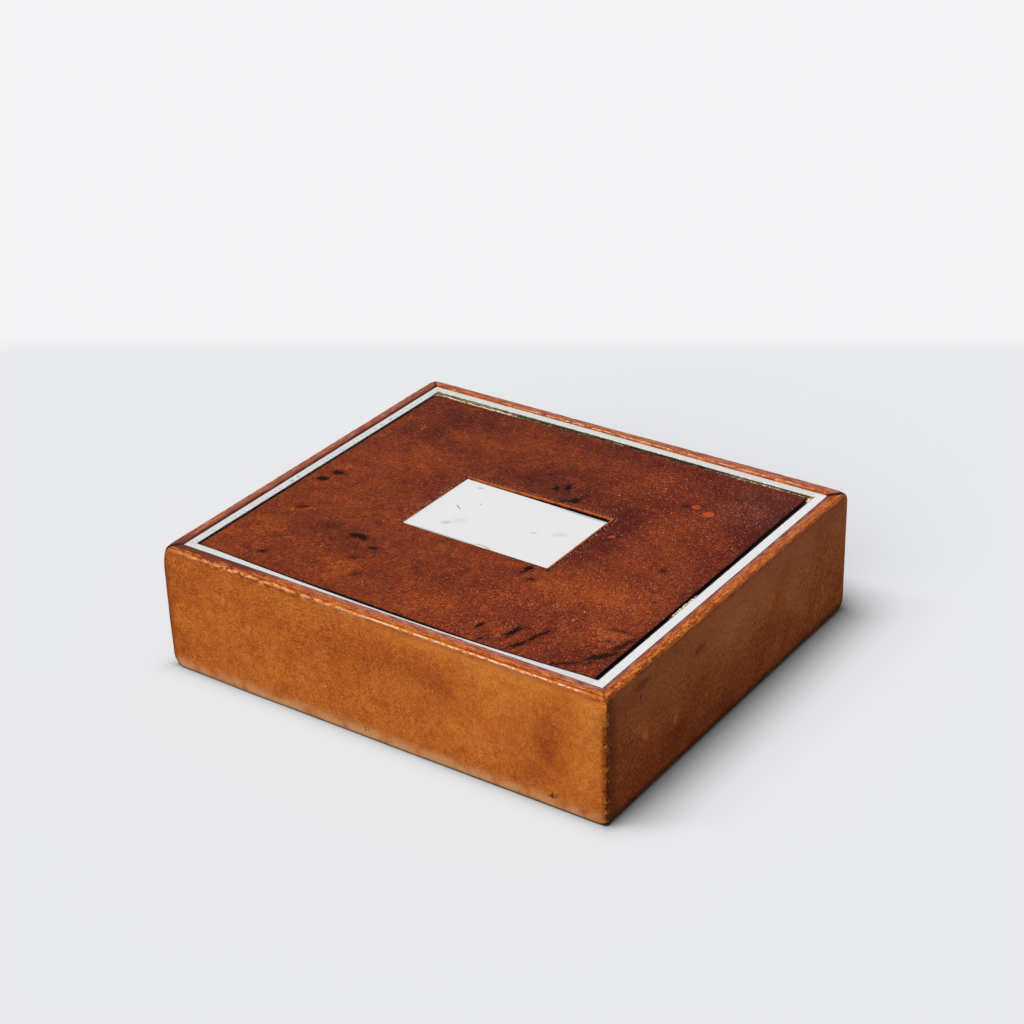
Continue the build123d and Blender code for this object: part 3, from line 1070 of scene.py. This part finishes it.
def inlay_wander(x, y):
    """The cut edges of the lid's leather aren't quite straight."""
    pull = smooth(4, 0, inlay_edge(x, y))
    right, back = shrunk(x, y)
    dx = 0.2 * pull * wave(0, y, 0, 9, 2.2) + 0.1 * pull * wave(0, y, 0, 2, 3.9)
    dy = 0.15 * pull * wave(x, 0, 0, 9, 4.2) + 0.08 * pull * wave(x, 0, 0, 2, 1.9)
    dx -= right * smooth(6, 0, INLAY_RIGHT - x)
    dy -= back * smooth(8, 0, INLAY_BACK - y)
    dx -= 0.3 * bell(y + 8, 28) * smooth(6, 0, x - INLAY_LEFT)
    return x + dx, y + dy - window_pull(x, y)


def inlay_top(x, y):
    z = inlay_high.z - rolled(inlay_edge(x, y), 0.45) - rolled(window_edge(x, y), 0.3)
    z += 0.1 * smooth(5, 0.6, window_edge(x, y))
    z += 0.12 * wave(x, y, 0, 26, 1.7) + 0.05 * wave(x, y, 0, 9, 5.7)
    z += 0.025 * wave(x, y, 0, 3, 8.7)
    x, y = inlay_wander(x, y)
    return x, y, z - lid_sag(x, y)


def inlay_bottom(x, y):
    x, y = inlay_wander(x, y)
    return x, y, inlay_low.z - lid_sag(x, y)


def lid_tone(x, y):
    """Broad tones on the lid, with the shaded border along its back and right edges."""
    border = smooth(7, 0.5, INLAY_BACK - y) * 0.5 + smooth(4, 0.3, INLAY_RIGHT - x) * 0.5
    return tone_total(x, y, LID_TONES) - border


def shaded_cut_edge(x, y, low):
    """1 on the cut edge of the lid's leather and along its front edge, both painted near-black as shade; 0 on
    its face.
    """
    if low:
        return 1
    width = 0.3 * smooth(-84, -60, x) + 0.6 * smooth(-50, -25, x) - 0.65 * smooth(0, 60, x)
    front = smooth(width + 0.35, width - 0.15, y - INLAY_FRONT) if width > 0 else 0
    return max(front, smooth(0.3, 0, inlay_edge(x, y)))


def window_cover(x, y):
    """Keeps the raw orange lip off the window's front side, and widens it at the right."""
    front = smooth(WINDOW_FRONT + 1, WINDOW_FRONT + 0.1, y)
    left = smooth(WINDOW_LEFT + 1, WINDOW_LEFT + 0.1, x)
    back = smooth(WINDOW_BACK - 1, WINDOW_BACK - 0.1, y)
    right = smooth(WINDOW_RIGHT - 1, WINDOW_RIGHT - 0.1, x)
    return 1.6 * front * (1 - back) * (1 - right) + 0.3 * left * (1 - front) - 0.35 * right


def inlay_fields(x, y, z):
    """What the leather's material reads. stain, chip, edge and window are distances in mm."""
    low = z + lid_sag(x, y) < (inlay_low.z + inlay_high.z) / 2
    pulled = y + window_pull(x, y)
    return {
        "tone": lid_tone(x, y),
        "stain": nearest_edge(x, y, LID_STAINS),
        "chip": nearest_edge(x, y, LID_CHIPS),
        "edge": max(0, inlay_edge(x, y)),
        "window": window_edge(x, pulled) + window_cover(x, pulled),
        "cut": shaded_cut_edge(x, y, low),
        "crazed": spot(x, y, 72, 56, 12, 16),
    }


def inlay_leather():
    """Dark red-brown calf: clouds of purple-brown and orange, fine fibre, pores with painted glints, stains,
    chips.
    """
    g = Graph("inlay_leather")
    cloud = g.noise(12, 4, 31, bend=1)
    drift = g.noise(4.2, 4, 32, rough=0.6)
    fleck = g.noise(1.4, 3, 33, rough=0.6)
    grain = g.noise(0.5, 3, 34, rough=0.7)
    fibre = g.noise(0.4, 2, 35, (5, 1, 1), 70)
    cross = g.noise(0.4, 2, 36, (5, 1, 1), 10)
    right = g.step(g.axis("X"), -20, 45)
    level = g.total(
        (cloud, 0.48), (drift, 0.28), (fleck, 0.36), (grain, 1.5),
        (g.times(right, g.total((grain, 1))), 1, 0),
        (fibre, 0.8), (cross, 0.5), (g.field("tone"), 0.17, -2.9),
    )
    colour = g.ramp(
        level, (0.1, 64, 26, 24), (0.34, 97, 42, 30), (0.52, 126, 55, 30), (0.72, 155, 71, 32),
        (0.92, 192, 100, 46),
    )

    # Redder to the right, then flakes, cuts, painted glints, rain, pale pores that are painted glints,
    # specks, scratches and crazing
    pore_glint_dots = g.specks(0.95, 0.19, 0.42, 37, (1, 1.3, 1), 35)
    pores = g.times(pore_glint_dots, g.times(right, g.patch(9, 2, 47, 0.3, 0.55)))
    left_part = g.minus(1, g.times(right, 0.6))
    scratch = g.times(g.lines(7, 0.022, 40), g.patch(8, 1, 41, 0.48, 0.6))
    hair = g.times(g.lines(5, 0.018, 45, (3, 1, 1), 125), g.patch(10, 1, 46, 0.5, 0.6))
    nets = g.lines(1.6, 0.045, 42, (1, 2.2, 1), 20), g.lines(1.3, 0.03, 48, turn=70)
    crazed = g.times(g.field("crazed"), g.math("MAXIMUM", *nets))
    colour = g.paint(
        colour,
        ((104, 18, 28), right, 0.15),
        ((204, 102, 50), g.specks(1.4, 0.24, 0.5, 50, (3, 1, 1), 60), 0.6),
        ((58, 22, 18), g.specks(1.4, 0.22, 0.5, 53, (3, 1, 1), 100), 0.6),
        # Painted glints as pale specks, and pale pores that are painted glints
        ((255, 224, 208), g.specks(6, 0.36, 0.3, 54), right, 0.9),
        ((226, 140, 104), g.specks(0.9, 0.16, 0.5, 44, (5, 1, 1), 125), right, 0.5),
        ((250, 204, 184), pores, 0.85),
        ((214, 112, 56), g.specks(5, 0.42, 0.4, 38), 0.6),
        ((40, 16, 14), g.specks(3, 0.3, 0.5, 39), 0.65),
        ((222, 128, 80), scratch, left_part, 0.5),
        ((214, 120, 76), hair, 0.5),
        ((214, 170, 150), crazed, 0.22),
    )

    # Chips, then stains with their halos, fainter at the front right
    brush = g.noise(0.8, 3, 43, (5, 1, 1), 62)
    ragged = g.total((fleck, 1.4), (grain, 2.2), (brush, 2.6))
    chip = g.step(g.plus(g.field("chip"), g.total((fleck, 1), (grain, 1))), 0.12, -0.12)
    spread = g.plus(g.field("stain"), ragged)
    stain = g.step(spread, 0.35, -0.1)
    fainter = g.minus(0.96, g.times(g.step(g.axis("X"), 40, 62), 0.16))
    colour = g.paint(
        colour,
        ((180, 80, 42), chip, 0.95),
        ((58, 24, 20), g.step(spread, 2, 0.2), 0.4),
        ((11, 9, 8), stain, fainter),
    )

    # The dark border, painted highlight granules and orange lip of the window, the worn edges, and the cut
    # edges painted near-black as shade
    beside = g.plus(g.field("window"), g.total((fleck, 1.6), (grain, 1)))
    shade = g.plus(g.times(g.step(g.axis("X"), 24, 33), 0.5), 0.42)
    granule_glints = g.times(g.patch(0.6, 2, 49, 0.54, 0.62), g.step(beside, 3, 1.4))
    raw = g.plus(g.field("window"), g.total((fleck, 0.8), (grain, 0.6)))
    worn = g.plus(g.field("edge"), g.total((fleck, 0.6)))
    depth = g.plus(g.field("cut"), g.total((fleck, 1.2)))
    colour = g.paint(
        colour,
        ((44, 16, 22), g.step(beside, 3.2, 1.2), shade),
        # Painted highlight on the granules
        ((206, 122, 98), granule_glints, 0.75),
        ((196, 100, 42), g.step(raw, 0.58, 0.34), g.step(drift, 0.34, 0.56), 0.9),
        ((66, 28, 20), g.step(worn, 0.75, 0.15), 0.6),
        # Painted shade: the cut edges and a strip along the front edge go near-black
        ((16, 11, 9), g.step(depth, 0.35, 0.65)),
    )

    bump = g.total(
        (fleck, 1), (grain, 0.6), (fibre, 0.4), (pores, -0.8, 0), (crazed, 0.6, 0),
        (chip, -0.8, 0), (drift, 0.8), (granule_glints, 0.8, 0),
    )
    rough = g.total((fleck, 0.3), (stain, -0.1, 0), start=0.5)
    return g.finish(g.quiet(colour), rough, bump, 0.08, specular=0.012)


def add_inlay():
    xs = rows(INLAY_LEFT, INLAY_RIGHT, 1, (WINDOW_LEFT, WINDOW_RIGHT))
    ys = rows(INLAY_FRONT, INLAY_BACK, 1, (WINDOW_FRONT, WINDOW_BACK))
    window = (WINDOW_LEFT, WINDOW_FRONT, WINDOW_RIGHT, WINDOW_BACK)
    shape = slab(xs, ys, inlay_top, inlay_bottom, window)
    add_piece(
        "leather_inlay", shape, inlay_leather(), "lid", "lid_leather", inlay_fields,
    )


def core_wood():
    """Near-black board with old glue in the gap round the leather."""
    g = Graph("core_wood")
    fleck = g.noise(0.9, 3, 51)
    grain = g.noise(0.5, 2, 52, (12, 1, 1))
    colour = g.ramp(
        g.total((fleck, 1.4), (grain, 0.9), (g.field("glue"), 0.85, -0.2)),
        (0.3, 5, 4, 4), (0.54, 34, 28, 20), (0.72, 124, 104, 68), (0.9, 236, 222, 186),
    )
    return g.finish(colour, 0.7, g.total((fleck, 1), (grain, 0.5)), 0.15, specular=0.1)


def glue_left(x, y):
    """Where old glue and bare wood show in the gap: back right corner, right side and back."""
    corner = 0.8 * spot(x, y, 85, 74, 4.5)
    right = 0.75 * smooth(-29, -24, y) * smooth(-6, -12, y) * smooth(82, 84, x)
    back = 0.5 + 0.32 * smooth(-40, -56, x) + 0.2 * smooth(38, 52, x) - 0.06 * smooth(-5, 8, x)
    return max(corner, right, back * smooth(72, 73.2, y))


def add_core():
    """The lid's board: its top dips with the sag, and lumps of glue lie in the gap."""
    margin = 0.05
    half_x, half_y = LID_X - WEB - margin, LID_Y - WEB - margin
    xs = rows(-half_x, half_x, 2, (INLAY_LEFT, INLAY_RIGHT))
    ys = rows(-half_y, half_y, 1.2, (INLAY_FRONT, INLAY_BACK))

    def top(x, y):
        right, back = shrunk(x, y)
        in_gap = x > INLAY_RIGHT - right + 0.15 or y > INLAY_BACK - back + 0.15
        inside_band = x < LID_X - BAND and y < LID_Y - BAND + 0.4
        lump = glue_left(x, y) * min(1, max(0, 0.75 + wave(x, y, 0, 1.3, 2.9)))
        rise = 0.8 * lump if in_gap and inside_band else 0
        return x, y, sunk(x, y, BOARD_TOP) - margin + rise

    def bottom(x, y):
        return x, y, board_low.z

    def fields(x, y, z):
        return {"glue": glue_left(x, y)}

    shape = slab(xs, ys, top, bottom)
    add_piece("lid_core", shape, core_wood(), "lid", "lid_board", fields)


# The plaque

def plaque_silver():
    """Silver plate with its own smudges and dents, a stained front edge, and painted shade along its back
    edge.
    """
    g, colour, surface = silver("plaque_silver", 60)
    for x, y, half_length, half_width, turn, strength, tint in PLATE_MARKS:
        inputs = {
            "Vector": g.add("TexCoord").outputs["Object"],
            "Location": (x * MM, y * MM, 0),
            "Rotation": (0, 0, math.radians(turn)),
            "Scale": (half_length * MM, half_width * MM, 1),
        }
        within = g.add("Mapping", inputs, vector_type="TEXTURE").outputs["Vector"]
        reach = g.add("VectorMath", {0: within}, operation="LENGTH").outputs["Value"]
        ragged = g.plus(reach, g.total((g.noise(0.8, 2, 66), 0.9)))
        colour = g.paint(colour, (tint, g.step(ragged, 1.15, 0.6), strength))
    return g.finish(colour, *surface, metallic=1)


def add_plate():
    """The blank silver plate, let in a little askew, with softened edges and shallow dents."""
    middle_x = (PLATE_LEFT + PLATE_RIGHT) / 2
    middle_y = (PLATE_FRONT + PLATE_BACK) / 2
    c, s = math.cos(math.radians(PLATE_TURN)), math.sin(math.radians(PLATE_TURN))

    def turned(x, y, z):
        dx, dy = x - middle_x, y - middle_y
        return middle_x + c * dx - s * dy, middle_y + s * dx + c * dy, z

    def top(x, y):
        edge = min(x - PLATE_LEFT, PLATE_RIGHT - x, y - PLATE_FRONT, PLATE_BACK - y)
        return turned(x, y, plaque_high.z - rolled(edge, 0.2) + 0.03 * wave(x, y, 0, 9, 4.6))

    def bottom(x, y):
        return turned(x, y, BOARD_TOP)

    xs = rows(PLATE_LEFT, PLATE_RIGHT, 1.5)
    ys = rows(PLATE_FRONT, PLATE_BACK, 1.5)
    shape = slab(xs, ys, top, bottom)
    add_piece("silver_plate", shape, plaque_silver(), "lid", "lid_plaque")


# Wood, card, cloth and brass

def wood(name, along, dark, light, pore):
    """Straight-grained board: soft year rings, long fibres and short dark pores along it."""
    g = Graph(name)
    long = [30 if letter == along else 1 for letter in "XYZ"]
    short = [9 if letter == along else 1 for letter in "XYZ"]
    rings = g.noise(3.2, 3, 71, long, bend=0.4)
    fibre = g.noise(0.35, 2, 72, long)
    pores = g.specks(0.9, 0.16, 0.45, 74, short)
    level = g.total((rings, 1.5), (fibre, 0.7), (g.noise(18, 2, 73), 0.6), start=0.5)
    colour = g.paint(g.ramp(level, (0.2, *dark), (0.8, *light)), (pore, pores, 0.5))
    bump = g.total((fibre, 0.8), (pores, -1, 0), (rings, 0.5))
    return g.finish(colour, g.total((fibre, 0.3), start=0.58), bump, 0.06, specular=0.25)


def plain(g, noises, dark, light, *surface, **sockets):
    """Ends a material that lies between two colours, led by weighted noises."""
    colour = g.ramp(g.total(*noises, start=0.5), (0.2, *dark), (0.8, *light))
    return g.finish(colour, *surface, **sockets)


def suede(name):
    """Brown suede with a brushed nap: soft lighter and darker strokes over a fine tooth."""
    g = Graph(name)
    stroke = g.noise(14, 3, 81, (2.5, 1, 1), 25, bend=1.2)
    nap = g.noise(0.7, 3, 82, (1, 3, 1))
    tooth = g.noise(0.25, 2, 83)
    noises = (stroke, 1.1), (nap, 0.6), (tooth, 0.6)
    bump = g.total((nap, 0.7), (tooth, 1))
    return plain(
        g, noises, (112, 74, 46), (156, 110, 74), 0.95, bump, 0.1,
        specular=0.05, sheen=0.25, sheen_roughness=0.5,
    )


def baize():
    """Dark brown-black felted cloth with short tangled fibres."""
    g = Graph("baize")
    tangle = g.noise(0.6, 3, 85, bend=2)
    noises = (tangle, 1), (g.noise(16, 2, 86), 0.6)
    return plain(g, noises, (24, 20, 18), (58, 50, 45), 0.95, tangle, 0.25, specular=0.05, sheen=0.15)


def card():
    """Grey-brown pulp card with small fibres in it."""
    g = Graph("card")
    fibre = g.noise(0.8, 3, 88, (3, 1, 1), bend=1.5)
    noises = (fibre, 0.9), (g.noise(7, 2, 89), 0.5)
    return plain(g, noises, (140, 122, 96), (184, 168, 142), 0.9, fibre, 0.08, specular=0.1)


def brass():
    """Dull drawn brass with darker tarnish and fine draw lines along the pin."""
    g = Graph("pin_brass")
    drawn = g.noise(0.15, 1, 92, (1, 1, 8))
    noises = (g.noise(1.2, 3, 91), 1.4), (drawn, 0.4)
    return plain(g, noises, (140, 112, 62), (206, 176, 110), 0.42, drawn, 0.02, metallic=1)


def add_lining(name, node, body, material, up):
    """A thin suede lining that shows on one side, a little uneven there, with rolled edges."""
    low, high = corners_mm(node)
    face, hidden = (high.z, low.z) if up > 0 else (low.z, high.z)

    def shown(x, y):
        sunken = 0.08 + rolled(min(high.x - abs(x), high.y - abs(y)), 0.5)
        rough = 0.06 * wave(x, y, 0, 11, 3.4) + 0.03 * wave(x, y, 0, 3, 7.4)
        return x, y, face - up * sunken + rough

    def back(x, y):
        return x, y, hidden

    shape = slab(rows(low.x, high.x, 3), rows(low.y, high.y, 3), shown, back)
    add_piece(name, shape, suede(material), body, node)


def add_base_cloth():
    """The dark cloth that the box stands on: flat below, with a soft rounded edge."""
    top, bottom = cover_high.z, cover_low.z
    section = [
        *line((12, top), (0.2, top), 4),
        (0.2, top),
        *arc(0.3, (top + bottom) / 2, 0.3, 150, 210, 3),
        (0.35, bottom),
        *line((1.2, bottom), (12, bottom), 4),
    ]

    def bend(x, y, inset, height):
        belly = 0.7 * front_belly(x) if y < -BOX_Y + 2 and inset < 3 else 0
        return inset + 0.08 * wave(x, y, height, 4, 6.6) - belly, height

    vertices, sides = ring(BOX_X - CLOTH_INSET, BOX_Y - CLOTH_INSET / 2, 1, section, 2, bend)
    size = len(section)
    inner = {0, size - 1}
    faces = [face for face in sides if {face[0] % size, face[2] % size} != inner]
    faces.append(tuple(range(0, len(vertices), size)))
    faces.append(tuple(reversed(range(size - 1, len(vertices), size))))
    add_piece("base_cloth", (vertices, faces), baize(), "box", "base_cover")


def dress(node, material):
    """Gives a CAD node a finished material."""
    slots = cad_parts[node].data.materials
    slots.clear()
    slots.append(material)


def dress_nodes():
    pale = (172, 134, 88), (208, 172, 124), (120, 84, 50)
    red = (128, 74, 44), (172, 108, 68), (74, 38, 22)
    carcass = {axis: wood("carcass_" + axis, axis, *pale) for axis in "XY"}
    cedar = {axis: wood("cedar_" + axis, axis, *red) for axis in "XY"}
    dress("bottom_board", carcass["X"])
    for side, axis in (("front", "X"), ("back", "X"), ("left", "Y"), ("right", "Y")):
        dress(side + "_wall", carcass[axis])
        dress(side + "_lining", cedar[axis])
    pins = brass()
    dress("wall_pins", pins)
    dress("frame_pins", pins)
    dress("base_filler", card())


# Camera, lights and floor

CAMERA_PLACE = Vector((0.43440, -0.61184, 0.45999))
CAMERA_RIGHT = Vector((0.82401, 0.56600, -0.02592))
CAMERA_UP = Vector((-0.25121, 0.40597, 0.87870))
CAMERA_FORWARD = Vector((-0.50786, 0.71753, -0.47670))
CAMERA_LENS = 82
CAMERA_SENSOR = 36
CLIP_START = 0.01
CLIP_END = 50

WHITE = (1, 1, 1, 1)
BLACK = (0, 0, 0, 1)
BACKDROP = linear(245, 245, 247)
FLOOR = linear(233, 234, 236)
FLOOR_UNSEEN = (0.26, 0.26, 0.26, 1)
FLOOR_HALF = 8
FLOOR_DROP = 0.0001
WORLD_STRENGTH = 0.09
FOOT_SHADE = 0.42
FOOT_SHADE_REACH = 0.0028
# Each lamp: its direction, its strength and its width in degrees
LAMPS = {
    "key": ((-0.20, -0.18, 1), 2.27, 29),
    "fill": ((0.08, -1.7, 1), 1, 50),
    "glint": ((-0.64, -0.43, 1), 0.18, 7),
}
IMAGE_WIDTH = 1024
HORIZON_ROW = 346
HORIZON_BLEND = 0.012


def add_camera():
    camera = bpy.data.objects.new("camera", bpy.data.cameras.new("camera"))
    camera.data.lens = CAMERA_LENS
    camera.data.sensor_width = CAMERA_SENSOR
    camera.data.clip_start = CLIP_START
    camera.data.clip_end = CLIP_END
    axes = Matrix((CAMERA_RIGHT, CAMERA_UP, -CAMERA_FORWARD)).transposed()
    camera.matrix_world = Matrix.Translation(CAMERA_PLACE) @ axes.to_4x4()
    bpy.context.scene.collection.objects.link(camera)
    bpy.context.scene.camera = camera


def add_lamps():
    for name, (towards, strength, width) in LAMPS.items():
        lamp = bpy.data.objects.new(name, bpy.data.lights.new(name, "SUN"))
        lamp.data.energy = strength
        lamp.data.angle = math.radians(width)
        lamp.rotation_euler = Vector(towards).to_track_quat("Z", "Y").to_euler()
        bpy.context.scene.collection.objects.link(lamp)


def seen(tree):
    """1 for the rays that show the backdrop: from the camera, in gloss and through glass."""
    path = tree.nodes.new("ShaderNodeLightPath")
    total = path.outputs["Is Camera Ray"]
    for name in ("Is Glossy Ray", "Is Transmission Ray"):
        either = tree.nodes.new("ShaderNodeMath")
        either.operation = "MAXIMUM"
        tree.links.new(total, either.inputs[0])
        tree.links.new(path.outputs[name], either.inputs[1])
        total = either.outputs[0]
    return total


def add_world():
    world = bpy.data.worlds.new("studio")
    world.use_nodes = True
    tree = world.node_tree
    tree.nodes.clear()
    choice = tree.nodes.new("ShaderNodeMixShader")
    tree.links.new(seen(tree), choice.inputs[0])
    for n, (colour, strength) in enumerate(((WHITE, WORLD_STRENGTH), (BACKDROP, 1))):
        background = tree.nodes.new("ShaderNodeBackground")
        background.inputs["Color"].default_value = colour
        background.inputs["Strength"].default_value = strength
        tree.links.new(background.outputs[0], choice.inputs[n + 1])
    output = tree.nodes.new("ShaderNodeOutputWorld")
    tree.links.new(choice.outputs[0], output.inputs["Surface"])
    bpy.context.scene.world = world


def foot_shade(g, place):
    """Painted shadow on the floor close to the box's foot, where hardly any light gets in."""
    along = g.add("SeparateXYZ", {"Vector": place})
    beside = []
    for letter, half in (("X", BOX_X), ("Y", BOX_Y)):
        away = g.minus(g.math("ABSOLUTE", along.outputs[letter]), half * MM)
        away = g.math("MAXIMUM", away, 0)
        beside.append(g.times(away, away))
    away = g.math("SQRT", g.plus(*beside))
    return g.times(g.math("EXPONENT", g.times(away, -1 / FOOT_SHADE_REACH)), FOOT_SHADE)


def floor_material():
    """A pale sheet, with a painted shadow round the box's foot, that turns to the backdrop's colour past a
    line behind the box.
    """
    g = Graph("floor")
    rise = (IMAGE_WIDTH / 2 - HORIZON_ROW) / IMAGE_WIDTH * CAMERA_SENSOR / CAMERA_LENS
    row = CAMERA_RIGHT.cross(CAMERA_FORWARD + rise * CAMERA_UP)
    across = Vector((row.x, row.y, 0))
    start = CAMERA_PLACE.dot(row) / across.length
    across.normalize()
    if across.dot(CAMERA_FORWARD) < 0:
        across, start = -across, -start
    place = g.add("NewGeometry").outputs["Position"]
    reach = g.add("VectorMath", {0: place, 1: across}, operation="DOT_PRODUCT").outputs["Value"]
    far = g.step(reach, start - HORIZON_BLEND, start + HORIZON_BLEND)
    pale = g.mix(foot_shade(g, place), g.mix(far, FLOOR, BACKDROP), BLACK)
    diffuse = g.add("BsdfDiffuse", {"Color": g.mix(seen(g.tree), FLOOR_UNSEEN, pale)})
    g.tree.links.new(diffuse.outputs[0], g.add("OutputMaterial").inputs["Surface"])
    return g.material


def add_floor():
    mesh = bpy.data.meshes.new("floor")
    corners = [(FLOOR_HALF * a, FLOOR_HALF * b, -FLOOR_DROP) for a, b in ((-1, -1), (1, -1), (1, 1), (-1, 1))]
    mesh.from_pydata(corners, [], [(0, 1, 2, 3)])
    mesh.materials.append(floor_material())
    floor = bpy.data.objects.new("floor", mesh)
    bpy.context.scene.collection.objects.link(floor)


add_wrap()
add_edging()
add_core()
add_inlay()
add_plate()
add_lining("suede_floor", "floor_lining", "box", "floor_suede", 1)
add_lining("suede_lid_lining", "lid_lining", "lid", "lid_suede", -1)
add_base_cloth()
dress_nodes()
add_camera()
add_world()
add_lamps()
add_floor()
bpy.context.scene.view_settings.view_transform = "Standard"
